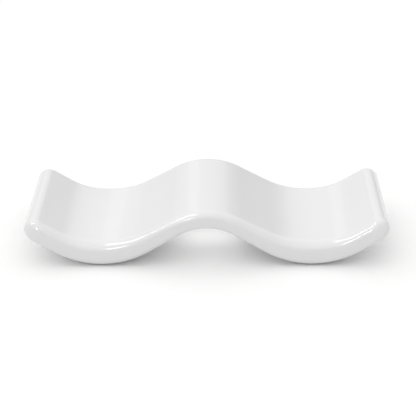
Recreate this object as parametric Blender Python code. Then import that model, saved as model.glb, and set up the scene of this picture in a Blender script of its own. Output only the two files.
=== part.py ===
"""Wave-shaped spoon rest in glazed porcelain: a fired body on two bare feet, inside a coat of glaze."""

import math
from collections import namedtuple

import bmesh
import bpy

# Sizes in metres and radians, +Z up. The origin is on the table, under the middle of the crest.
# The wave's curves are given along the middle of its wall, and its outer sizes include the glaze.
DEPTH = 0.0405
CREST_RADIUS = 0.0185
TROUGH_RADIUS = 0.02655
FLANK_ANGLE = math.radians(29.95)
FLANK_LENGTH = 0.0107
LIP_ANGLE = math.radians(31.95)
LIP_LENGTH = 0.0071
CREST_WALL = 0.00545
TROUGH_WALL = 0.0075
LIP_WALL = 0.0063
CORNER_RADIUS = 0.0035

# How closely the thick part of the wall keeps to the bottom of the troughs.
THICKENING = 2.0

# The rounding of the front and back edges, as shares of the wall beside them.
TOP_EDGE_SHARE = 0.39
BOTTOM_EDGE_SHARE = 0.27

# The glaze, and the hair's breadth that is left free between it and the body.
GLAZE_THICKNESS = 0.0005
GLAZE_ROOM = 0.0003
SHARPEST_EDGE = 0.0001

# The bare feet: pads with round ends, one along the bottom of each trough.
FOOT_WIDTH = 0.0080
FOOT_END_MARGIN = 0.0045
FOOT_STAND = 0.0004
FOOT_CHAMFER = 0.0002
FOOT_ROOM = 0.0003

# How finely the curves are divided.
CURVE_STEP = math.radians(5.0)
STRAIGHT_STEPS = 2
NOSE_STEPS = 8
EDGE_STEPS = 4
FOOT_END_STEPS = 12
SHARP_ANGLE = math.radians(40.0)

BISQUE_COLOUR = (0.84, 0.81, 0.76, 1.0)
BISQUE_ROUGHNESS = 0.75
GLAZE_COLOUR = (0.90, 0.91, 0.92, 1.0)
GLAZE_ROUGHNESS = 0.08

RIGHT_ANGLE = 0.5 * math.pi
SIDES = (("left", -1.0), ("right", 1.0))

# A place along the middle of the wall. The lip share grows from 0 at the trough to 1 at the lip's end.
Station = namedtuple("Station", "x z slope half_wall lip_share")

# A point of the wave's section, with its outward normal and the rounding of the edge beside it.
# The pull says how far it follows a lip's end when that draws back at the corners, signed by side.
SectionPoint = namedtuple("SectionPoint", "x z normal_x normal_z edge_radius pull")


def trough_offset():
    """Distance from the middle of the crest to the lowest line of a trough."""
    curves = (CREST_RADIUS + TROUGH_RADIUS) * math.sin(FLANK_ANGLE)
    return curves + FLANK_LENGTH * math.cos(FLANK_ANGLE)


def crest_rise():
    """Height of the crest above the troughs, along the middle of the wall."""
    curves = (CREST_RADIUS + TROUGH_RADIUS) * (1.0 - math.cos(FLANK_ANGLE))
    return curves + FLANK_LENGTH * math.sin(FLANK_ANGLE)


def trough_level():
    """Height of the middle of the wall at the bottom of a trough."""
    return FOOT_STAND + 0.5 * TROUGH_WALL


def arc_angles(start, end):
    """Even angles from start to end, no more than one curve step apart."""
    steps = max(2, math.ceil(abs(end - start) / CURVE_STEP))
    return [start + (end - start) * step / steps for step in range(steps + 1)]


def ease(share):
    """Smooth blend from 0 to 1."""
    return 0.5 - 0.5 * math.cos(math.pi * min(max(share, 0.0), 1.0))


def between(start, end, share):
    """The value at a share of the way from start to end."""
    return start + (end - start) * share


def straight_run(start, length):
    """Points of a straight run that goes on from a point (x, z, slope), without that point."""
    x, z, slope = start
    runs = [length * step / STRAIGHT_STEPS for step in range(1, STRAIGHT_STEPS + 1)]
    return [(x + run * math.cos(slope), z + run * math.sin(slope), slope) for run in runs]


def middle_points():
    """Points (x, z, slope) from the crest to the end of the right-hand lip, and the trough's index."""
    level = trough_level()
    top = level + crest_rise()
    points = []
    for angle in arc_angles(0.0, FLANK_ANGLE):
        drop = CREST_RADIUS * (1.0 - math.cos(angle))
        points.append((CREST_RADIUS * math.sin(angle), top - drop, -angle))
    points += straight_run(points[-1], FLANK_LENGTH)
    inner_angles = arc_angles(-FLANK_ANGLE, 0.0)[1:]
    trough_index = len(points) + len(inner_angles) - 1
    for angle in inner_angles + arc_angles(0.0, LIP_ANGLE)[1:]:
        rise = TROUGH_RADIUS * (1.0 - math.cos(angle))
        points.append((trough_offset() + TROUGH_RADIUS * math.sin(angle), level + rise, angle))
    points += straight_run(points[-1], LIP_LENGTH)
    return points, trough_index


def middle_line():
    """Stations from the crest to the right-hand lip. The wall is thickest at the trough."""
    points, trough_index = middle_points()
    runs = [0.0]
    for before, after in zip(points, points[1:]):
        runs.append(runs[-1] + math.dist(before[:2], after[:2]))
    to_trough = runs[trough_index]
    to_lip = runs[-1] - to_trough
    stations = []
    for (x, z, slope), run in zip(points, runs):
        lip_share = ease((run - to_trough) / to_lip)
        thick = (ease(run / to_trough) * (1.0 - lip_share)) ** THICKENING
        wall = between(CREST_WALL if run < to_trough else LIP_WALL, TROUGH_WALL, thick)
        stations.append(Station(x, z, slope, 0.5 * wall, lip_share))
    return stations


def surface_point(station, turn, edge_share):
    """The section's point that lies half a wall from a station, in the direction of the turn."""
    normal_x = math.cos(turn)
    normal_z = math.sin(turn)
    x = station.x + station.half_wall * normal_x
    z = station.z + station.half_wall * normal_z
    edge_radius = 2.0 * station.half_wall * edge_share
    pull = math.copysign(station.lip_share, station.x)
    return SectionPoint(x, z, normal_x, normal_z, edge_radius, pull)


def wave_section():
    """The wave's section in four runs, clockwise as seen from the front.

    The top runs from left to right, the right-hand nose turns down, the bottom runs back to the left,
    and the left-hand nose turns up again.
    """
    right = middle_line()
    left = [Station(-at.x, at.z, -at.slope, at.half_wall, at.lip_share) for at in right[:0:-1]]
    stations = left + right
    top = [surface_point(at, at.slope + RIGHT_ANGLE, TOP_EDGE_SHARE) for at in stations]
    bottom = [surface_point(at, at.slope - RIGHT_ANGLE, BOTTOM_EDGE_SHARE) for at in stations[::-1]]
    nose = []
    for step in range(1, NOSE_STEPS):
        share = step / NOSE_STEPS
        edge_share = between(TOP_EDGE_SHARE, BOTTOM_EDGE_SHARE, ease(share))
        turn = right[-1].slope + RIGHT_ANGLE - math.pi * share
        nose.append(surface_point(right[-1], turn, edge_share))
    left_nose = [at._replace(x=-at.x, normal_x=-at.normal_x, pull=-at.pull) for at in nose[::-1]]
    return top, nose, bottom, left_nose


def corner_retreat(y):
    """How far a lip's end draws back at a distance from the middle, so that its corners are round."""
    past = max(0.0, y - (0.5 * DEPTH - CORNER_RADIUS))
    return CORNER_RADIUS - math.sqrt(max(0.0, CORNER_RADIUS ** 2 - past ** 2))


def ring_point(at, inset, side, shrink, reach):
    """A section point drawn in by inset and shrink, at a reach from the middle, front (-1) or back (1)."""
    retreat = corner_retreat(reach + inset) * at.pull
    x = at.x - retreat * math.cos(LIP_ANGLE) - at.normal_x * (inset + shrink)
    z = at.z - abs(retreat) * math.sin(LIP_ANGLE) - at.normal_z * (inset + shrink)
    return x, side * reach, z


def half_rings(outline, inset, side):
    """The rings of one half, from the start of its round corners out to its end face."""
    face = 0.5 * DEPTH - inset
    start = face - CORNER_RADIUS - max(at.edge_radius for at in outline)
    rings = [[ring_point(at, inset, side, 0.0, start) for at in outline]]
    for step in range(EDGE_STEPS + 1):
        turn = RIGHT_ANGLE * step / EDGE_STEPS
        ring = []
        for at in outline:
            radius = max(at.edge_radius - inset, SHARPEST_EDGE)
            shrink = radius * (1.0 - math.cos(turn))
            reach = face - radius * (1.0 - math.sin(turn))
            ring.append(ring_point(at, inset, side, shrink, reach))
        rings.append(ring)
    return rings


def wave_mesh(name, inset):
    """The whole wave as one closed mesh, drawn in from the outside by the inset."""
    top, nose, bottom, left_nose = wave_section()
    outline = top + nose + bottom + left_nose
    rings = half_rings(outline, inset, -1.0)[::-1] + half_rings(outline, inset, 1.0)
    mesh = bmesh.new()
    loops = [[mesh.verts.new(point) for point in ring] for ring in rings]
    count = len(outline)
    for front, back in zip(loops, loops[1:]):
        for index in range(count):
            after = (index + 1) % count
            mesh.faces.new((front[index], front[after], back[after], back[index]))
    for loop in (loops[0], loops[-1]):
        close_end(mesh, loop, len(top), len(nose))
    return finished_mesh(mesh, name)


def close_end(mesh, loop, across, turned):
    """Close an end face with a row of quads across the wall and one face for each nose."""
    upper = loop[:across]
    right_nose = loop[across:across + turned]
    lower = loop[across + turned:2 * across + turned][::-1]
    left_nose = loop[2 * across + turned:]
    for index in range(across - 1):
        mesh.faces.new((upper[index], upper[index + 1], lower[index + 1], lower[index]))
    mesh.faces.new([upper[-1]] + right_nose + [lower[-1]])
    mesh.faces.new([lower[0]] + left_nose + [upper[0]])


def foot_mesh(name, side, room, sole_level, chamfer):
    """A pad with round ends under one trough, from its sole up to the middle of the wall."""
    radius = 0.5 * FOOT_WIDTH + room
    straight = 0.5 * DEPTH - FOOT_END_MARGIN - 0.5 * FOOT_WIDTH
    centre = side * trough_offset()
    mesh = bmesh.new()
    rim = []
    for end in (1.0, -1.0):
        for step in range(FOOT_END_STEPS + 1):
            turn = math.pi * step / FOOT_END_STEPS
            x = centre + end * radius * math.cos(turn)
            y = end * (straight + radius * math.sin(turn))
            rim.append(mesh.verts.new((x, y, sole_level)))
    sole = mesh.faces.new(rim)
    sole_edges = sole.edges[:]
    raised = bmesh.ops.extrude_face_region(mesh, geom=[sole], use_keep_orig=True)
    upper = [item for item in raised["geom"] if isinstance(item, bmesh.types.BMVert)]
    bmesh.ops.translate(mesh, verts=upper, vec=(0.0, 0.0, trough_level() - sole_level))
    if chamfer > 0.0:
        bmesh.ops.bevel(mesh, geom=sole_edges, offset=chamfer, segments=1, affect="EDGES")
    return finished_mesh(mesh, name)


def finished_mesh(mesh, name):
    """Point the faces outwards, shade the round ones smooth and hand over a plain mesh."""
    bmesh.ops.recalc_face_normals(mesh, faces=mesh.faces[:])
    data = bpy.data.meshes.new(name)
    mesh.to_mesh(data)
    mesh.free()
    data.shade_smooth()
    data.set_sharp_from_angle(angle=SHARP_ANGLE)
    return data


def ceramic_material(name, colour, roughness):
    """A plain Principled material."""
    material = bpy.data.materials.new(name)
    material.use_nodes = True
    shader = material.node_tree.nodes["Principled BSDF"]
    shader.inputs["Base Color"].default_value = colour
    shader.inputs["Roughness"].default_value = roughness
    shader.inputs["Metallic"].default_value = 0.0
    return material


def add_object(name, data, parent):
    """Put a mesh in the scene under the parent."""
    item = bpy.data.objects.new(name, data)
    bpy.context.scene.collection.objects.link(item)
    item.parent = parent
    return item


def shape_with(item, former, operation):
    """Cut a former from a piece, or join it to the piece. The former itself isn't a piece."""
    former.parent = item
    former.hide_render = True
    former.display_type = "WIRE"
    modifier = item.modifiers.new(former.name, "BOOLEAN")
    modifier.operation = operation
    modifier.solver = "EXACT"
    modifier.object = former


def build_body(parent):
    """The fired body, just inside the glaze, with its two feet."""
    inset = GLAZE_THICKNESS + GLAZE_ROOM
    body = add_object("porcelain_body", wave_mesh("porcelain_body", inset), parent)
    body.data.materials.append(ceramic_material("bare_bisque", BISQUE_COLOUR, BISQUE_ROUGHNESS))
    for word, side in SIDES:
        name = word + "_foot_former"
        foot = add_object(name, foot_mesh(name, side, 0.0, 0.0, FOOT_CHAMFER), body)
        shape_with(body, foot, "UNION")


def build_glaze(parent):
    """The glaze: the outer wave, hollowed to its own thickness, with a window round each foot."""
    glaze = add_object("glaze_coat", wave_mesh("glaze_coat", 0.0), parent)
    glaze.data.materials.append(ceramic_material("white_glaze", GLAZE_COLOUR, GLAZE_ROUGHNESS))
    inside = add_object("glaze_inside", wave_mesh("glaze_inside", GLAZE_THICKNESS), glaze)
    shape_with(glaze, inside, "DIFFERENCE")
    for word, side in SIDES:
        name = word + "_foot_window"
        window = add_object(name, foot_mesh(name, side, FOOT_ROOM, -FOOT_STAND, 0.0), glaze)
        shape_with(glaze, window, "DIFFERENCE")


def build():
    """Clear the scene and build the spoon rest under one empty."""
    for item in list(bpy.data.objects):
        bpy.data.objects.remove(item, do_unlink=True)
    rest = add_object("spoon_rest", None, None)
    build_body(rest)
    build_glaze(rest)


build()
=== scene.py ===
"""Spoon rest in glazed porcelain, dressed for rendering. Laid out as an add-on and run as a script.

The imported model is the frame. Geometry Nodes draw the same wave again much more finely. The glaze is
that wave hollowed to its own thickness, and the bare body is the wave inside it, standing on two ground
feet.
"""

import math

import bpy
from bpy.props import FloatProperty, FloatVectorProperty, PointerProperty
from mathutils import Matrix, Vector


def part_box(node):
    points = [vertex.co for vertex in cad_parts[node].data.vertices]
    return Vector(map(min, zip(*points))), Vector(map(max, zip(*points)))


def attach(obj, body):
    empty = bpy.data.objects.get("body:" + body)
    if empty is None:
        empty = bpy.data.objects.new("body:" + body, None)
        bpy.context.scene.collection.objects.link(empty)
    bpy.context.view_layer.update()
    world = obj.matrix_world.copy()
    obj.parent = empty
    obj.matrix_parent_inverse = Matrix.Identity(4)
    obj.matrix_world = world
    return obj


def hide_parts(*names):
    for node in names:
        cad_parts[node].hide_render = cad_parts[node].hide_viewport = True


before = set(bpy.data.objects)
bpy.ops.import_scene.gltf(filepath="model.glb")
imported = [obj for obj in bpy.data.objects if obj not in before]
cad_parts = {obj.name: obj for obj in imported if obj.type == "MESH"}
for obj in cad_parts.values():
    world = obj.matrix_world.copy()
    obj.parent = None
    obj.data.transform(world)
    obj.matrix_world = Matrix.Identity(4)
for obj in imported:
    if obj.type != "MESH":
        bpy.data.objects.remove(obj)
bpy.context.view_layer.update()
GLAZE_LOW, GLAZE_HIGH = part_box("glaze_coat")

bl_info = {
    "name": "Wave Spoon Rest",
    "version": (1, 0, 0),
    "blender": (4, 5, 0),
    "location": "3D View > Sidebar > Spoon Rest",
    "description": "Makes a wave-shaped spoon rest in glazed porcelain on a pale studio floor",
    "category": "Object",
}

# How finely the wave's skin is divided, for each step of its fineness.
TOP_STEPS = 24
NOSE_STEPS = 4
BODY_STEPS = 4
EDGE_STEPS = 1

# How finely half of the front or back face is divided, at any fineness.
FACE_STEPS = 4

# The fineness of the glaze's outer skin, and of the skins inside it.
OUTER_FINENESS = 10
INNER_FINENESS = 5

# How finely a foot is divided.
FOOT_END_STEPS = 24
FOOT_EDGE_STEPS = 4

SHARPEST_EDGE = 0.0001
MERGE_DISTANCE = 0.000005
SHARP_ANGLE = math.radians(40.0)
SIDES = (-1.0, 1.0)
FLOOR_GAP = 0.00002
SOFTBOXES = ("ceiling", "hood", "screen", "low", "front", "back")
GLAZE_IOR = 1.5

# How fine the patterns in the glaze are, in cells per metre.
CLOUD_SCALE = 42.0
SWELL_SCALE = 170.0
PEEL_SCALE = 1500.0
PINHOLE_SCALE = 240.0

# How fine the patterns in the bare porcelain are, in cells per metre, and the stretch of its streaks.
GRAIN_SCALE = 4200.0
BLOTCH_SCALE = 160.0
STREAK_SCALE = 2600.0
STREAK_STRETCH = (0.12, 1.0, 1.0)
SPECK_SCALE = 900.0

# The camera's sensor in millimetres, and the nearest and farthest that it sees in metres.
SENSOR_WIDTH = 36.0
CLIP_START = 0.01
CLIP_END = 50.0


def length(name, description, default):
    """A size in metres."""
    return FloatProperty(
        name=name,
        description=description,
        default=default,
        min=0.0,
        precision=5,
        unit="LENGTH",
        subtype="DISTANCE",
    )


def angle(name, description, degrees):
    """An angle, given in degrees."""
    return FloatProperty(
        name=name,
        description=description,
        default=math.radians(degrees),
        unit="ROTATION",
        subtype="ANGLE",
    )


def share(name, description, default):
    """A share from 0 to 1."""
    return FloatProperty(
        name=name, description=description, default=default, min=0.0, max=1.0, subtype="FACTOR"
    )


def level(name, description, default):
    """A brightness, where 1 is white."""
    return FloatProperty(name=name, description=description, default=default, min=0.0, subtype="NONE")


def colour(name, description, default):
    """A linear colour."""
    return FloatVectorProperty(
        name=name, description=description, default=default, size=4, min=0.0, max=1.0, subtype="COLOR"
    )


def place(name, description, default):
    """A point in metres."""
    return FloatVectorProperty(
        name=name, description=description, default=default, size=3, unit="LENGTH", subtype="TRANSLATION"
    )


def extent(name, description, default):
    """A width and a height in metres."""
    return FloatVectorProperty(
        name=name, description=description, default=default, size=2, min=0.0, unit="LENGTH"
    )


class WaveSizes(bpy.types.PropertyGroup):
    """The wave's sizes. Its curves are given along the middle of the wall."""

    depth: length("Depth", "From the front face to the back face", GLAZE_HIGH.y - GLAZE_LOW.y)
    crest_radius: length("Crest Radius", "Bend of the crest", 0.0185)
    trough_radius: length("Trough Radius", "Bend of each trough", 0.02655)
    flank_angle: angle("Flank Angle", "Slope between the crest and a trough", 29.95)
    flank_length: length("Flank Length", "Straight run between the crest and a trough", 0.0107)
    lip_angle: angle("Lip Angle", "Slope of the upturned ends", 31.95)
    lip_length: length("Lip Length", "Straight run at the end of each lip", 0.0071)
    crest_wall: length("Crest Wall", "Wall thickness at the crest", 0.00545)
    trough_wall: length("Trough Wall", "Wall thickness at the bottom of a trough", 0.0075)
    lip_wall: length("Lip Wall", "Wall thickness at the lips", 0.0063)
    thickening: FloatProperty(
        name="Thickening",
        description="How closely the thick part of the wall keeps to the bottom of the troughs",
        default=2.0,
        min=1.0,
    )
    top_edge_share: share("Top Edge Share", "Rounding of the upper edges in the wall beside them", 0.39)
    bottom_edge_share: share(
        "Bottom Edge Share", "Rounding of the lower edges in the wall beside them", 0.27
    )
    corner_radius: length("Corner Radius", "Rounding of the lips' corners, seen from above", 0.0035)
    stand: length("Stand", "Height of the glaze above the table", GLAZE_LOW.z)


class CoatSizes(bpy.types.PropertyGroup):
    """The sizes of the glaze and of the bare feet that it leaves free."""

    glaze_thickness: length("Glaze Thickness", "Thickness of the glaze", 0.0005)
    glaze_room: length("Glaze Room", "Room between the glaze and the body", 0.0003)
    foot_width: length("Foot Width", "Width of each foot", 0.0080)
    foot_end_margin: length(
        "Foot End Margin", "From a foot's round end to the front or back face", 0.0045
    )
    foot_rounding: length("Foot Rounding", "Rounding of a foot's rim", 0.0002)
    foot_room: length("Foot Room", "Room between a foot and the glaze round it", 0.0003)


class Finishes(bpy.types.PropertyGroup):
    """The colours and the gloss of the two ceramics."""

    glaze_colour: colour("Glaze Colour", "White of the glaze", (0.838, 0.836, 0.840, 1.0))
    glaze_cloud_colour: colour(
        "Glaze Cloud Colour", "Where the glaze runs thicker", (0.824, 0.822, 0.828, 1.0)
    )
    glaze_roughness: share("Glaze Roughness", "Roughness of the glaze where it is smoothest", 0.07)
    glaze_relief: length("Glaze Relief", "Height of the slow swell in the glaze", 0.000006)
    bisque_colour: colour("Bisque Colour", "Bare porcelain", (0.80, 0.765, 0.71, 1.0))
    bisque_dust_colour: colour(
        "Bisque Dust Colour", "Grains of kiln sand and grinding dust", (0.60, 0.56, 0.50, 1.0)
    )
    bisque_roughness: share("Bisque Roughness", "Roughness of the bare porcelain", 0.72)
    bisque_relief: length("Bisque Relief", "Height of the grain in the bare porcelain", 0.00004)


class Studio(bpy.types.PropertyGroup):
    """The floor, the light and the camera."""

    floor_colour: colour("Floor Colour", "Plain white floor", (0.986, 0.984, 0.981, 1.0))
    bounce_colour: colour(
        "Bounce Colour", "What the floor sends back as soft light", (0.860, 0.858, 0.855, 1.0)
    )
    floor_size: length("Floor Size", "Width of the floor", 8.0)
    horizon_level: level("Horizon Level", "Brightness of the room at its horizon", 0.205)
    zenith_rise: level("Zenith Rise", "How much brighter the room is overhead", 1.08)
    left_rise: level("Left Rise", "How much brighter the room is on the left", 0.225)
    left_blend: share("Left Blend", "How gently the room darkens from left to right", 0.35)
    backdrop_level: level("Backdrop Level", "Brightness of the pale backdrop behind the floor", 1.0)
    backdrop_top: angle(
        "Backdrop Top", "Height above the horizon at which the pale backdrop starts to fade", 6.5
    )
    backdrop_end: angle("Backdrop End", "Height above the horizon at which the pale backdrop ends", 9.0)
    corner_way: FloatVectorProperty(
        name="Corner Way",
        description="The way to the dark corner of the room",
        default=(0.395, 0.886, 0.242),
        size=3,
        subtype="DIRECTION",
    )
    corner_core: angle(
        "Corner Core", "From the middle of the dark corner to where it starts to fade", 5.0
    )
    corner_reach: angle("Corner Reach", "From the middle of the dark corner to its end", 15.0)
    corner_loss: share(
        "Corner Loss", "How much of its brightness the room loses in the dark corner", 0.62
    )
    arch_height: length("Arch Height", "Height of the two fill lights under the arch", 0.0065)
    arch_width: length("Arch Width", "Width of the two fill lights under the arch", 0.0205)
    arch_core_depth: length(
        "Arch Core Depth", "Depth of the fill light under the middle of the arch", 0.008
    )
    arch_core_level: level(
        "Arch Core Level", "Brightness of the fill light under the middle of the arch", 0.86
    )
    arch_wide_depth: length("Arch Wide Depth", "Depth of the fill light under the whole arch", 0.038)
    arch_wide_level: level("Arch Wide Level", "Brightness of the fill light under the whole arch", 0.19)
    ceiling_place: place("Ceiling Place", "Middle of the ceiling panel", (-0.06, -0.16, 0.60))
    ceiling_size: extent("Ceiling Size", "Width and depth of the ceiling panel", (0.80, 0.60))
    ceiling_level: level("Ceiling Level", "Brightness of the ceiling panel in the gloss", 0.15)
    hood_place: place("Hood Place", "Middle of the panel over the camera", (-0.06, -0.42, 0.50))
    hood_size: extent("Hood Size", "Width and height of the panel over the camera", (0.70, 0.35))
    hood_level: level("Hood Level", "Brightness of the panel over the camera in the gloss", 0.48)
    screen_place: place("Screen Place", "Middle of the panel behind the camera", (0.0, -0.50, 0.42))
    screen_size: extent("Screen Size", "Width and height of the panel behind the camera", (1.00, 0.30))
    screen_level: level("Screen Level", "Brightness of the panel behind the camera in the gloss", 0.48)
    low_place: place("Low Place", "Middle of the low strip light in front", (0.0, -0.58, 0.218))
    low_size: extent("Low Size", "Width and height of the low strip light in front", (0.80, 0.03))
    low_level: level("Low Level", "Brightness of the low strip light in front in the gloss", 7.0)
    strip_start: place("Strip Start", "End of the strip light overhead", (-0.188, -0.199, 0.912))
    strip_end: place("Strip End", "End of the strip light on the left", (-0.68, -0.42, 0.60))
    strip_width: length("Strip Width", "Width of the strip light", 0.18)
    strip_level: level("Strip Level", "Brightness of the strip light in the gloss", 10.5)
    front_place: place("Front Place", "Middle of the softbox in front", (-0.265, -0.925, 0.345))
    front_size: extent("Front Size", "Width and height of the softbox in front", (0.17, 0.14))
    front_level: level("Front Level", "Brightness of the softbox in front in the gloss", 20.0)
    back_place: place("Back Place", "Middle of the softbox behind", (-0.285, 1.34, 0.63))
    back_size: extent("Back Size", "Width and height of the softbox behind", (0.20, 0.66))
    back_level: level("Back Level", "Brightness of the softbox behind in the gloss", 0.24)
    camera_pitch: angle("Camera Pitch", "How far the camera looks down", 27.0)
    camera_yaw: angle("Camera Yaw", "How far the camera looks to the right", -0.839)
    camera_roll: angle("Camera Roll", "How far the camera leans", -0.519)
    camera_distance: length("Camera Distance", "From the camera to what it looks at", 0.39376)
    camera_aim: place("Camera Aim", "What the camera looks at", (0.00017, 0.00382, 0.00789))
    camera_lens: FloatProperty(
        name="Camera Lens",
        description="Focal length in millimetres",
        default=107.51,
        min=1.0,
        unit="CAMERA",
    )


class Value:
    """A socket in a Python expression. Each operation on it adds a Math node to its graph."""

    def __init__(self, graph, socket):
        self.graph = graph
        self.socket = socket

    def __add__(self, other):
        return maths("ADD", self, other)

    def __radd__(self, other):
        return maths("ADD", other, self)

    def __sub__(self, other):
        return maths("SUBTRACT", self, other)

    def __rsub__(self, other):
        return maths("SUBTRACT", other, self)

    def __mul__(self, other):
        return maths("MULTIPLY", self, other)

    def __rmul__(self, other):
        return maths("MULTIPLY", other, self)

    def __truediv__(self, other):
        return maths("DIVIDE", self, other)

    def __neg__(self):
        return maths("MULTIPLY", self, -1.0)


class Graph:
    """A node tree that is filled from Python."""

    def __init__(self, tree):
        self.tree = tree

    def node(self, kind, settings=None, sockets=None):
        """Add a node. Its settings come first, then the values or links of its sockets."""
        made = self.tree.nodes.new(kind)
        for name, setting in (settings or {}).items():
            setattr(made, name, setting)
        for key, given in (sockets or {}).items():
            self.feed(made.inputs[key], given)
        return made

    def feed(self, socket, given):
        """Link a value, or each of several values, to a socket, or set the socket to a constant."""
        if isinstance(given, Value):
            self.tree.links.new(given.socket, socket)
        elif isinstance(given, list):
            for value in given:
                self.tree.links.new(value.socket, socket)
        else:
            socket.default_value = given

    def value(self, kind, output, settings=None, sockets=None):
        """Add a node and hand over one of its outputs as a value."""
        return Value(self, self.node(kind, settings, sockets).outputs[output])


def maths(operation, *terms):
    """A Math node over values and plain numbers, at least one of them a value."""
    graph = next(term.graph for term in terms if isinstance(term, Value))
    return graph.value("ShaderNodeMath", 0, {"operation": operation}, dict(enumerate(terms)))


def sine(turn):
    return maths("SINE", turn)


def cosine(turn):
    return maths("COSINE", turn)


def smaller(first, second):
    return maths("MINIMUM", first, second)


def larger(first, second):
    return maths("MAXIMUM", first, second)


def kept_between(value, lowest, highest):
    """The value, held between two limits."""
    return smaller(larger(value, lowest), highest)


def progress(count, start, steps):
    """How far a count has come through some steps, from 0 at their start to 1 at their end."""
    return kept_between((count - start) / steps, 0.0, 1.0)


def ease(part):
    """Smooth blend from 0 to 1."""
    return 0.5 - 0.5 * cosine(math.pi * kept_between(part, 0.0, 1.0))


def blended(start, end, part):
    """The value at a share of the way from start to end."""
    return start + (end - start) * part


def fields(group):
    """The properties of a group, in the order in which they are written."""
    return [entry for entry in group.bl_rna.properties if entry.identifier not in ("rna_type", "name")]


def names(group):
    """The names of a group's properties."""
    return [entry.name for entry in fields(group)]


def geometry_graph(name, lengths, counts=(), materials=()):
    """A Geometry Nodes tree with named inputs, and those inputs as values."""
    tree = bpy.data.node_groups.new(name, "GeometryNodeTree")
    tree.interface.new_socket("Geometry", in_out="OUTPUT", socket_type="NodeSocketGeometry")
    for kind, wanted in (
        ("NodeSocketFloat", lengths),
        ("NodeSocketInt", counts),
        ("NodeSocketMaterial", materials),
    ):
        for label in wanted:
            tree.interface.new_socket(label, in_out="INPUT", socket_type=kind)
    graph = Graph(tree)
    entry = graph.node("NodeGroupInput")
    return graph, {socket.name: Value(graph, socket) for socket in entry.outputs if socket.name}


def wrapped_grid(graph, columns, rows):
    """A flat grid of that many steps, with its column and its row counted from 0."""
    grid = graph.value(
        "GeometryNodeMeshGrid",
        "Mesh",
        sockets={"Size X": columns, "Size Y": rows, "Vertices X": columns + 1, "Vertices Y": rows + 1},
    )
    spot = graph.value("GeometryNodeInputPosition", "Position")
    split = graph.node("ShaderNodeSeparateXYZ", sockets={"Vector": spot})
    column = Value(graph, split.outputs["X"]) + columns * 0.5
    row = Value(graph, split.outputs["Y"]) + rows * 0.5
    return grid, column, row


def close_skin(graph, grid, x, y, z):
    """Move a grid's points into place and merge the seams where its edges meet."""
    spot = graph.value("ShaderNodeCombineXYZ", "Vector", sockets={"X": x, "Y": y, "Z": z})
    moved = graph.value(
        "GeometryNodeSetPosition", "Geometry", sockets={"Geometry": grid, "Position": spot}
    )
    merged = graph.value(
        "GeometryNodeMergeByDistance",
        "Geometry",
        sockets={"Geometry": moved, "Distance": MERGE_DISTANCE},
    )
    graph.node("NodeGroupOutput", sockets={"Geometry": merged})
    return graph.tree


def trough_offset(size):
    """Distance from the middle of the crest to the lowest line of a trough."""
    curves = (size["Crest Radius"] + size["Trough Radius"]) * sine(size["Flank Angle"])
    return curves + size["Flank Length"] * cosine(size["Flank Angle"])


def trough_level(size):
    """Height of the middle of the wall at the bottom of a trough."""
    return size["Stand"] + 0.5 * size["Trough Wall"]


def crest_level(size):
    """Height of the middle of the wall at the crest."""
    curves = (size["Crest Radius"] + size["Trough Radius"]) * (1.0 - cosine(size["Flank Angle"]))
    return trough_level(size) + curves + size["Flank Length"] * sine(size["Flank Angle"])


def middle_line(size, distance):
    """Place, slope, half the wall and share of the lip at a distance from the crest along the wall."""
    crest_run = size["Crest Radius"] * size["Flank Angle"]
    flank_end = crest_run + size["Flank Length"]
    trough_run = size["Trough Radius"] * (size["Flank Angle"] + size["Lip Angle"])
    trough_middle = flank_end + size["Trough Radius"] * size["Flank Angle"]
    lip_end = flank_end + trough_run + size["Lip Length"]
    on_flank = kept_between(distance - crest_run, 0.0, size["Flank Length"])
    on_lip = larger(distance - flank_end - trough_run, 0.0)
    crest_turn = smaller(distance, crest_run) / size["Crest Radius"]
    trough_turn = kept_between(distance - flank_end, 0.0, trough_run) / size["Trough Radius"]
    trough_slope = trough_turn - size["Flank Angle"]
    x = size["Crest Radius"] * sine(crest_turn) + on_flank * cosine(size["Flank Angle"])
    x += size["Trough Radius"] * (sine(trough_slope) + sine(size["Flank Angle"]))
    x += on_lip * cosine(size["Lip Angle"])
    z = crest_level(size) - size["Crest Radius"] * (1.0 - cosine(crest_turn))
    z -= on_flank * sine(size["Flank Angle"])
    z += size["Trough Radius"] * (cosine(size["Flank Angle"]) - cosine(trough_slope))
    z += on_lip * sine(size["Lip Angle"])
    lip_share = ease((distance - trough_middle) / (lip_end - trough_middle))
    thick = maths("POWER", ease(distance / trough_middle) * (1.0 - lip_share), size["Thickening"])
    past_trough = maths("GREATER_THAN", distance, trough_middle)
    thin_wall = blended(size["Crest Wall"], size["Lip Wall"], past_trough)
    wall = blended(thin_wall, size["Trough Wall"], thick)
    return x, z, trough_turn - crest_turn, 0.5 * wall, lip_share


def half_run(size):
    """Length of the middle line from the crest to the end of a lip."""
    bends = size["Crest Radius"] * size["Flank Angle"]
    bends += size["Trough Radius"] * (size["Flank Angle"] + size["Lip Angle"])
    return bends + size["Flank Length"] + size["Lip Length"]


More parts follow.
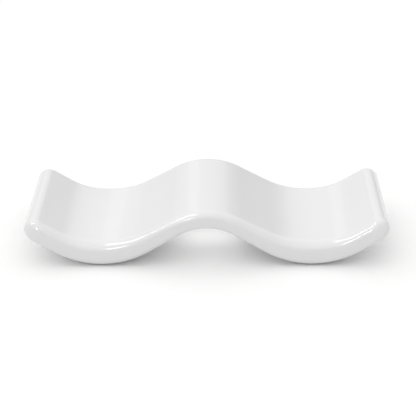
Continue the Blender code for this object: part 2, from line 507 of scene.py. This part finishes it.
def wave_skin():
    """Node group: the closed skin of the wave, drawn in from the outside by an inset.

    The grid's columns go round the section: along the top to the right, round the right-hand nose,
    back along the bottom and round the left-hand nose. Its rows go from the middle of the front face
    over the front edge, across the body, over the back edge and to the middle of the back face.
    """
    graph, size = geometry_graph("Wave Skin", names(WaveSizes) + ["Inset"], ["Fineness"])
    top_steps = size["Fineness"] * TOP_STEPS
    nose_steps = size["Fineness"] * NOSE_STEPS
    edge_steps = size["Fineness"] * EDGE_STEPS
    body_steps = size["Fineness"] * BODY_STEPS
    columns = 2.0 * (top_steps + nose_steps)
    rows = body_steps + 2.0 * edge_steps + 2.0 * FACE_STEPS
    grid, column, row = wrapped_grid(graph, columns, rows)

    along_top = progress(column, 0.0, top_steps)
    right_nose = progress(column, top_steps, nose_steps)
    along_bottom = progress(column, top_steps + nose_steps, top_steps)
    left_nose = progress(column, 2.0 * top_steps + nose_steps, nose_steps)
    run = half_run(size) * (2.0 * along_top - 2.0 * along_bottom - 1.0)
    side = maths("SIGN", run)
    x, z, slope, half_wall, lip_share = middle_line(size, maths("ABSOLUTE", run))
    outward = side * slope + math.pi * (0.5 - right_nose - left_nose)
    under = ease(right_nose) - ease(left_nose)
    edge_share = blended(size["Top Edge Share"], size["Bottom Edge Share"], under)
    edge_radius = larger(2.0 * half_wall * edge_share - size["Inset"], SHARPEST_EDGE)

    front_face = 1.0 - progress(row, 0.0, FACE_STEPS)
    front_edge = 1.0 - progress(row, FACE_STEPS, edge_steps)
    across = progress(row, FACE_STEPS + edge_steps, body_steps)
    back_edge = progress(row, FACE_STEPS + edge_steps + body_steps, edge_steps)
    back_face = progress(row, FACE_STEPS + 2.0 * edge_steps + body_steps, FACE_STEPS)
    front_turn = 0.5 * math.pi * front_edge
    back_turn = 0.5 * math.pi * back_edge
    half_depth = 0.5 * size["Depth"]
    y = (2.0 * across - 1.0) * (half_depth - size["Inset"] - edge_radius)
    y += edge_radius * (sine(back_turn) - sine(front_turn))
    drawn_in = size["Inset"] + edge_radius * (1.0 - cosine(front_turn + back_turn))
    reach = (half_wall - drawn_in) * (1.0 - front_face - back_face)

    corner = size["Corner Radius"]
    past = larger(maths("ABSOLUTE", y) + size["Inset"] - half_depth + corner, 0.0)
    retreat = lip_share * (corner - maths("SQRT", larger(corner * corner - past * past, 0.0)))
    x = side * (x - retreat * cosine(size["Lip Angle"])) + reach * cosine(outward)
    z = z - retreat * sine(size["Lip Angle"]) + reach * sine(outward)
    return close_skin(graph, grid, x, y, z)


def foot_pad():
    """Node group: a closed pad with round ends, from its sole up, with a rounded rim.

    The grid's columns go round both ends of the pad, and its rows go from the middle of the sole over
    the rim and up the side to the middle of the top.
    """
    lengths = ["Offset", "Radius", "Straight", "Sole", "Top", "Rounding"]
    graph, size = geometry_graph("Foot Pad", lengths)
    columns = 2 * (FOOT_END_STEPS + 1)
    rows = FOOT_EDGE_STEPS + 3
    grid, column, row = wrapped_grid(graph, columns, rows)
    around = maths("MODULO", column, columns)
    front = maths("GREATER_THAN", around, FOOT_END_STEPS + 0.5)
    turn = math.pi * (around - front) / FOOT_END_STEPS
    out = progress(row, 0.0, 1.0)
    rim_turn = 0.5 * math.pi * progress(row, 1.0, FOOT_EDGE_STEPS)
    up = progress(row, 1.0 + FOOT_EDGE_STEPS, 1.0)
    back_in = progress(row, 2.0 + FOOT_EDGE_STEPS, 1.0)
    radius = size["Radius"] - size["Rounding"] * (1.0 - sine(rim_turn))
    radius = radius * (out - back_in)
    x = size["Offset"] + radius * cosine(turn)
    y = (1.0 - 2.0 * front) * size["Straight"] + radius * sine(turn)
    z = size["Sole"] + size["Rounding"] * (1.0 - cosine(rim_turn))
    z += up * (size["Top"] - size["Sole"] - size["Rounding"])
    return close_skin(graph, grid, x, y, z)


def piece_graph(name):
    """The Geometry Nodes tree of a piece, with all sizes and its material as inputs."""
    return geometry_graph(name, names(WaveSizes) + names(CoatSizes), materials=["Material"])


def add_skin(graph, tree, size, inset, fineness):
    """The wave's skin in a piece's tree, at one inset."""
    sockets = {label: size[label] for label in names(WaveSizes)}
    sockets.update({"Inset": inset, "Fineness": fineness})
    return graph.value("GeometryNodeGroup", "Geometry", {"node_tree": tree}, sockets)


def add_pads(graph, tree, size, room, sole, rounding):
    """A pad under each trough in a piece's tree."""
    made = []
    for side in SIDES:
        sockets = {
            "Offset": side * trough_offset(size),
            "Radius": 0.5 * size["Foot Width"] + room,
            "Straight": 0.5 * (size["Depth"] - size["Foot Width"]) - size["Foot End Margin"],
            "Sole": sole,
            "Top": trough_level(size),
            "Rounding": rounding,
        }
        made.append(graph.value("GeometryNodeGroup", "Geometry", {"node_tree": tree}, sockets))
    return made


def end_tree(graph, size, mesh):
    """Shade a piece smooth, make it real and give it its material."""
    smooth = graph.value("GeometryNodeSetShadeSmooth", "Geometry", sockets={"Geometry": mesh})
    real = graph.value("GeometryNodeRealizeInstances", "Geometry", sockets={"Geometry": smooth})
    painted = graph.value(
        "GeometryNodeSetMaterial", "Geometry", sockets={"Geometry": real, "Material": size["Material"]}
    )
    graph.node("NodeGroupOutput", sockets={"Geometry": painted})
    return graph.tree


def glaze_tree():
    """The glaze: the outer wave, hollowed to its own thickness, with a window round each foot."""
    graph, size = piece_graph("Glaze Coat")
    skin = wave_skin()
    outside = add_skin(graph, skin, size, 0.0, OUTER_FINENESS)
    inside = add_skin(graph, skin, size, size["Glaze Thickness"], INNER_FINENESS)
    windows = add_pads(graph, foot_pad(), size, size["Foot Room"], -size["Stand"], 0.0)
    shell = graph.value(
        "GeometryNodeMeshBoolean",
        "Mesh",
        {"operation": "DIFFERENCE", "solver": "MANIFOLD"},
        {"Mesh 1": outside, "Mesh 2": [inside] + windows},
    )
    return end_tree(graph, size, shell)


def body_tree():
    """The bare body: the wave just inside the glaze, with its two feet."""
    graph, size = piece_graph("Porcelain Body")
    inset = size["Glaze Thickness"] + size["Glaze Room"]
    core = add_skin(graph, wave_skin(), size, inset, INNER_FINENESS)
    feet = add_pads(graph, foot_pad(), size, 0.0, 0.0, size["Foot Rounding"])
    whole = graph.value(
        "GeometryNodeMeshBoolean",
        "Mesh",
        {"operation": "UNION", "solver": "MANIFOLD"},
        {"Mesh 2": [core] + feet},
    )
    return end_tree(graph, size, whole)


def make_piece(name, tree, groups, material):
    """Run a tree with the sizes of some property groups and keep the result as a plain mesh object."""
    given = {entry.name: getattr(group, entry.identifier) for group in groups for entry in fields(group)}
    given["Material"] = material
    piece = bpy.data.objects.new(name, bpy.data.meshes.new(name))
    bpy.context.scene.collection.objects.link(piece)
    modifier = piece.modifiers.new(tree.name, "NODES")
    modifier.node_group = tree
    for item in tree.interface.items_tree:
        if item.in_out == "INPUT":
            modifier[item.identifier] = given[item.name]
    depsgraph = bpy.context.evaluated_depsgraph_get()
    mesh = bpy.data.meshes.new_from_object(piece.evaluated_get(depsgraph), depsgraph=depsgraph)
    piece.modifiers.clear()
    piece.data = mesh
    if not mesh.polygons:
        raise RuntimeError(f"the tree for {name} made no faces")
    mesh.name = name
    mesh.set_sharp_from_angle(angle=SHARP_ANGLE)
    return piece


def ceramic_material(name):
    """A material with an empty graph, its shader and the point on the piece as a value."""
    material = bpy.data.materials.new(name)
    material.use_nodes = True
    material.node_tree.nodes.clear()
    graph = Graph(material.node_tree)
    shader = graph.node("ShaderNodeBsdfPrincipled", sockets={"Metallic": 0.0})
    result = Value(graph, shader.outputs["BSDF"])
    graph.node("ShaderNodeOutputMaterial", sockets={"Surface": result})
    spot = graph.value("ShaderNodeTexCoord", "Object")
    return material, graph, shader, spot


def noise(graph, spot, scale, detail):
    """Soft noise from 0 to 1, with its scale in cells per metre."""
    sockets = {"Vector": spot, "Scale": scale, "Detail": detail, "Roughness": 0.5}
    return graph.value("ShaderNodeTexNoise", "Fac", sockets=sockets)


def mixed_colour(graph, first, second, part):
    """A colour between two colours."""
    factor, colour_a, colour_b, mixed = 0, 6, 7, 2
    sockets = {factor: part, colour_a: first, colour_b: second}
    return graph.value("ShaderNodeMix", mixed, {"data_type": "RGBA"}, sockets)


def relief(graph, height, distance):
    """A normal that follows a height, where a height of 1 is that distance."""
    sockets = {"Strength": 1.0, "Distance": distance, "Height": height}
    return graph.value("ShaderNodeBump", "Normal", sockets=sockets)


def pits(graph, spot, scale, reach, rarity):
    """Small round spots from 0 to 1, in those cells whose chance is above the rarity."""
    cells = graph.node("ShaderNodeTexVoronoi", sockets={"Vector": spot, "Scale": scale})
    shade = Value(graph, cells.outputs["Color"])
    chance = graph.value("ShaderNodeSeparateColor", "Red", sockets={"Color": shade})
    chosen = maths("GREATER_THAN", chance, rarity)
    near = 1.0 - kept_between(Value(graph, cells.outputs["Distance"]) / reach, 0.0, 1.0)
    return chosen * near


def white_glaze(finish):
    """Clear gloss glaze over white porcelain, with slow clouds, a slow swell and a few fine pits."""
    material, graph, shader, spot = ceramic_material("white_glaze")
    clouds = noise(graph, spot, CLOUD_SCALE, 2.0)
    swell = noise(graph, spot, SWELL_SCALE, 1.0)
    peel = noise(graph, spot, PEEL_SCALE, 2.0)
    pinholes = pits(graph, spot, PINHOLE_SCALE, reach=0.05, rarity=0.86)
    cloudy = kept_between(1.6 * clouds - 0.3 + 0.35 * pinholes, 0.0, 1.0)
    height = swell + 0.05 * peel - 0.8 * pinholes
    bumped = relief(graph, height, finish.glaze_relief)
    tint = mixed_colour(graph, finish.glaze_colour, finish.glaze_cloud_colour, cloudy)
    graph.feed(shader.inputs["Base Color"], tint)
    graph.feed(shader.inputs["Roughness"], finish.glaze_roughness + 0.03 * peel + 0.2 * pinholes)
    graph.feed(shader.inputs["Normal"], bumped)
    graph.feed(shader.inputs["IOR"], GLAZE_IOR)
    return material


def bare_bisque(finish):
    """Matt bare porcelain with a fine grain, grinding streaks and specks of dust."""
    material, graph, shader, spot = ceramic_material("bare_bisque")
    grain = noise(graph, spot, GRAIN_SCALE, 3.0)
    blotches = noise(graph, spot, BLOTCH_SCALE, 3.0)
    drawn_out = {"Vector": spot, "Scale": STREAK_STRETCH}
    stretched = graph.value("ShaderNodeMapping", "Vector", sockets=drawn_out)
    streaks = noise(graph, stretched, STREAK_SCALE, 2.0)
    specks = pits(graph, spot, SPECK_SCALE, reach=0.22, rarity=0.7)
    dusty = kept_between(0.9 * blotches - 0.25 + 0.35 * specks + 0.25 * streaks, 0.0, 1.0)
    height = 0.6 * grain + 0.4 * streaks - 0.5 * specks
    bumped = relief(graph, height, finish.bisque_relief)
    tint = mixed_colour(graph, finish.bisque_colour, finish.bisque_dust_colour, dusty)
    graph.feed(shader.inputs["Base Color"], tint)
    graph.feed(shader.inputs["Roughness"], finish.bisque_roughness + 0.2 * (grain - 0.5))
    graph.feed(shader.inputs["Normal"], bumped)
    return material


def seen_directly(graph):
    """1 for what the camera sees, also in gloss or through glass, and 0 for what gives soft light."""
    path = graph.node("ShaderNodeLightPath")
    rays = ("Is Camera Ray", "Is Glossy Ray", "Is Transmission Ray")
    camera, gloss, glass = (Value(graph, path.outputs[ray]) for ray in rays)
    return larger(larger(camera, gloss), glass)


def add_floor(studio):
    """The plain white floor, a hair's breadth below the feet."""
    half = 0.5 * studio.floor_size
    corners = [(-half, -half, 0.0), (half, -half, 0.0), (half, half, 0.0), (-half, half, 0.0)]
    mesh = bpy.data.meshes.new("studio_floor")
    mesh.from_pydata(corners, [], [(0, 1, 2, 3)])
    material = bpy.data.materials.new("studio_floor")
    material.use_nodes = True
    material.node_tree.nodes.clear()
    graph = Graph(material.node_tree)
    tint = mixed_colour(graph, studio.bounce_colour, studio.floor_colour, seen_directly(graph))
    matt = graph.value("ShaderNodeBsdfDiffuse", "BSDF", sockets={"Color": tint})
    graph.node("ShaderNodeOutputMaterial", sockets={"Surface": matt})
    mesh.materials.append(material)
    floor = bpy.data.objects.new("studio_floor", mesh)
    floor.location.z = -FLOOR_GAP
    bpy.context.scene.collection.objects.link(floor)


def add_surroundings(studio):
    """A soft room, brightest overhead, brighter on the left and dark in one corner behind.

    What the camera sees of it behind the floor, also in gloss, is a plain pale backdrop.
    """
    world = bpy.data.worlds.new("studio_room")
    world.use_nodes = True
    world.node_tree.nodes.clear()
    graph = Graph(world.node_tree)
    direction = graph.value("ShaderNodeTexCoord", "Generated")
    split = graph.node("ShaderNodeSeparateXYZ", sockets={"Vector": direction})
    x, y, z = (Value(graph, split.outputs[axis]) for axis in "XYZ")
    left = 0.5 - 0.5 * kept_between(x / studio.left_blend, -1.0, 1.0)
    brightness = studio.horizon_level + studio.zenith_rise * larger(z, 0.0) + studio.left_rise * left
    corner = Vector(studio.corner_way).normalized()
    nearness = corner.x * x + corner.y * y + corner.z * z
    core, reach = math.cos(studio.corner_core), math.cos(studio.corner_reach)
    brightness = brightness * (1.0 - studio.corner_loss * ease((nearness - reach) / (core - reach)))
    top, end = math.sin(studio.backdrop_top), math.sin(studio.backdrop_end)
    backdrop = seen_directly(graph) * ease((end - z) / (end - top))
    brightness = blended(brightness, studio.backdrop_level, backdrop)
    sockets = {"Color": (1.0, 1.0, 1.0, 1.0), "Strength": brightness}
    glow = graph.value("ShaderNodeBackground", "Background", sockets=sockets)
    graph.node("ShaderNodeOutputWorld", sockets={"Surface": glow})
    bpy.context.scene.world = world


def add_lamp(name, kind, spot, aim=(0.0, 0.0, 0.0)):
    """A lamp at a place, pointed at the spoon rest or at another aim, that the camera doesn't see."""
    lamp = bpy.data.objects.new(name, bpy.data.lights.new(name, kind))
    lamp.location = spot
    lamp.rotation_euler = (Vector(aim) - Vector(spot)).to_track_quat("-Z", "Y").to_euler()
    lamp.visible_camera = False
    bpy.context.scene.collection.objects.link(lamp)
    return lamp


def add_panel(name, spot, size, brightness, aim=(0.0, 0.0, 0.0)):
    """A flat rectangular lamp."""
    lamp = add_lamp(name, "AREA", spot, aim)
    lamp.data.shape = "RECTANGLE"
    lamp.data.size = size[0]
    lamp.data.size_y = size[1]
    lamp.data.energy = math.pi * size[0] * size[1] * brightness
    return lamp


def add_arch_fill(studio):
    """Two small lights under the arch, in place of the light that comes through thin porcelain."""
    spot = (0.0, 0.0, studio.arch_height)
    for name in ("core", "wide"):
        depth, brightness = (getattr(studio, f"arch_{name}_{part}") for part in ("depth", "level"))
        lamp = add_panel(f"arch_{name}_fill", spot, (studio.arch_width, depth), brightness)
        lamp.visible_glossy = False


def add_strip(studio):
    """The strip light that draws a thin line of gloss along the edges. It doesn't light the form."""
    start, end = Vector(studio.strip_start), Vector(studio.strip_end)
    middle = 0.5 * (start + end)
    along = (end - start).normalized()
    back = (middle - along * middle.dot(along)).normalized()
    size = ((end - start).length, studio.strip_width)
    lamp = add_panel("strip_light", middle, size, studio.strip_level)
    lamp.rotation_euler = Matrix((along, back.cross(along), back)).transposed().to_euler()
    lamp.visible_diffuse = False


def add_softboxes(studio):
    """The panels and softboxes that show in the gloss and don't light the form."""
    for name in SOFTBOXES:
        setting = [getattr(studio, f"{name}_{part}") for part in ("place", "size", "level")]
        lamp = add_panel(f"{name}_softbox", *setting)
        lamp.visible_diffuse = False


def add_camera(studio):
    """The camera, at the photograph's angle."""
    pitch, yaw, roll = studio.camera_pitch, studio.camera_yaw, studio.camera_roll
    level_way = Vector((math.sin(yaw), math.cos(yaw), 0.0))
    forward = math.cos(pitch) * level_way - math.sin(pitch) * Vector((0.0, 0.0, 1.0))
    level_right = Vector((math.cos(yaw), -math.sin(yaw), 0.0))
    level_up = level_right.cross(forward)
    right = math.cos(roll) * level_right + math.sin(roll) * level_up
    up = math.cos(roll) * level_up - math.sin(roll) * level_right
    camera = bpy.data.objects.new("camera", bpy.data.cameras.new("camera"))
    camera.data.sensor_width = SENSOR_WIDTH
    camera.data.lens = studio.camera_lens
    camera.data.clip_start = CLIP_START
    camera.data.clip_end = CLIP_END
    camera.location = Vector(studio.camera_aim) - studio.camera_distance * forward
    camera.rotation_euler = Matrix((right, up, -forward)).transposed().to_euler()
    bpy.context.scene.collection.objects.link(camera)
    bpy.context.scene.camera = camera


class SPOONREST_OT_make_body(bpy.types.Operator):
    """Make the bare porcelain body with its two ground feet"""

    bl_idname = "spoon_rest.make_body"
    bl_label = "Make Porcelain Body"

    def execute(self, context):
        scene = context.scene
        groups = (scene.spoon_rest_wave, scene.spoon_rest_coat)
        material = bare_bisque(scene.spoon_rest_finish)
        piece = make_piece("bare_porcelain_body", body_tree(), groups, material)
        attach(piece, "root")
        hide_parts("porcelain_body")
        return {"FINISHED"}


class SPOONREST_OT_make_glaze(bpy.types.Operator):
    """Make the glaze that covers the body and leaves its feet bare"""

    bl_idname = "spoon_rest.make_glaze"
    bl_label = "Make Glaze"

    def execute(self, context):
        scene = context.scene
        groups = (scene.spoon_rest_wave, scene.spoon_rest_coat)
        material = white_glaze(scene.spoon_rest_finish)
        piece = make_piece("white_glaze_coat", glaze_tree(), groups, material)
        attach(piece, "root")
        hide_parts("glaze_coat")
        return {"FINISHED"}


class SPOONREST_OT_set_stage(bpy.types.Operator):
    """Set up the floor, the studio light and the camera"""

    bl_idname = "spoon_rest.set_stage"
    bl_label = "Set Stage"

    def execute(self, context):
        studio = context.scene.spoon_rest_studio
        add_floor(studio)
        add_surroundings(studio)
        add_arch_fill(studio)
        add_softboxes(studio)
        add_strip(studio)
        add_camera(studio)
        context.scene.view_settings.view_transform = "Standard"
        return {"FINISHED"}


class SPOONREST_PT_sidebar(bpy.types.Panel):
    """Sizes, finishes and steps of the spoon rest"""

    bl_idname = "SPOONREST_PT_sidebar"
    bl_label = "Spoon Rest"
    bl_space_type = "VIEW_3D"
    bl_region_type = "UI"
    bl_category = "Spoon Rest"

    def draw(self, context):
        scene = context.scene
        for group in (
            scene.spoon_rest_wave,
            scene.spoon_rest_coat,
            scene.spoon_rest_finish,
            scene.spoon_rest_studio,
        ):
            box = self.layout.box()
            for entry in fields(group):
                box.prop(group, entry.identifier)
        self.layout.operator("spoon_rest.make_body")
        self.layout.operator("spoon_rest.make_glaze")
        self.layout.operator("spoon_rest.set_stage")


CLASSES = (
    WaveSizes,
    CoatSizes,
    Finishes,
    Studio,
    SPOONREST_OT_make_body,
    SPOONREST_OT_make_glaze,
    SPOONREST_OT_set_stage,
    SPOONREST_PT_sidebar,
)


def register():
    """Register the classes and hang the property groups on the scene."""
    for item in CLASSES:
        bpy.utils.register_class(item)
    bpy.types.Scene.spoon_rest_wave = PointerProperty(type=WaveSizes)
    bpy.types.Scene.spoon_rest_coat = PointerProperty(type=CoatSizes)
    bpy.types.Scene.spoon_rest_finish = PointerProperty(type=Finishes)
    bpy.types.Scene.spoon_rest_studio = PointerProperty(type=Studio)


def unregister():
    """Take the property groups off the scene and unregister the classes."""
    del bpy.types.Scene.spoon_rest_studio
    del bpy.types.Scene.spoon_rest_finish
    del bpy.types.Scene.spoon_rest_coat
    del bpy.types.Scene.spoon_rest_wave
    for item in reversed(CLASSES):
        bpy.utils.unregister_class(item)


def main():
    """Make the pieces and the stage."""
    register()
    bpy.ops.spoon_rest.make_body()
    bpy.ops.spoon_rest.make_glaze()
    bpy.ops.spoon_rest.set_stage()


if __name__ == "__main__":
    main()
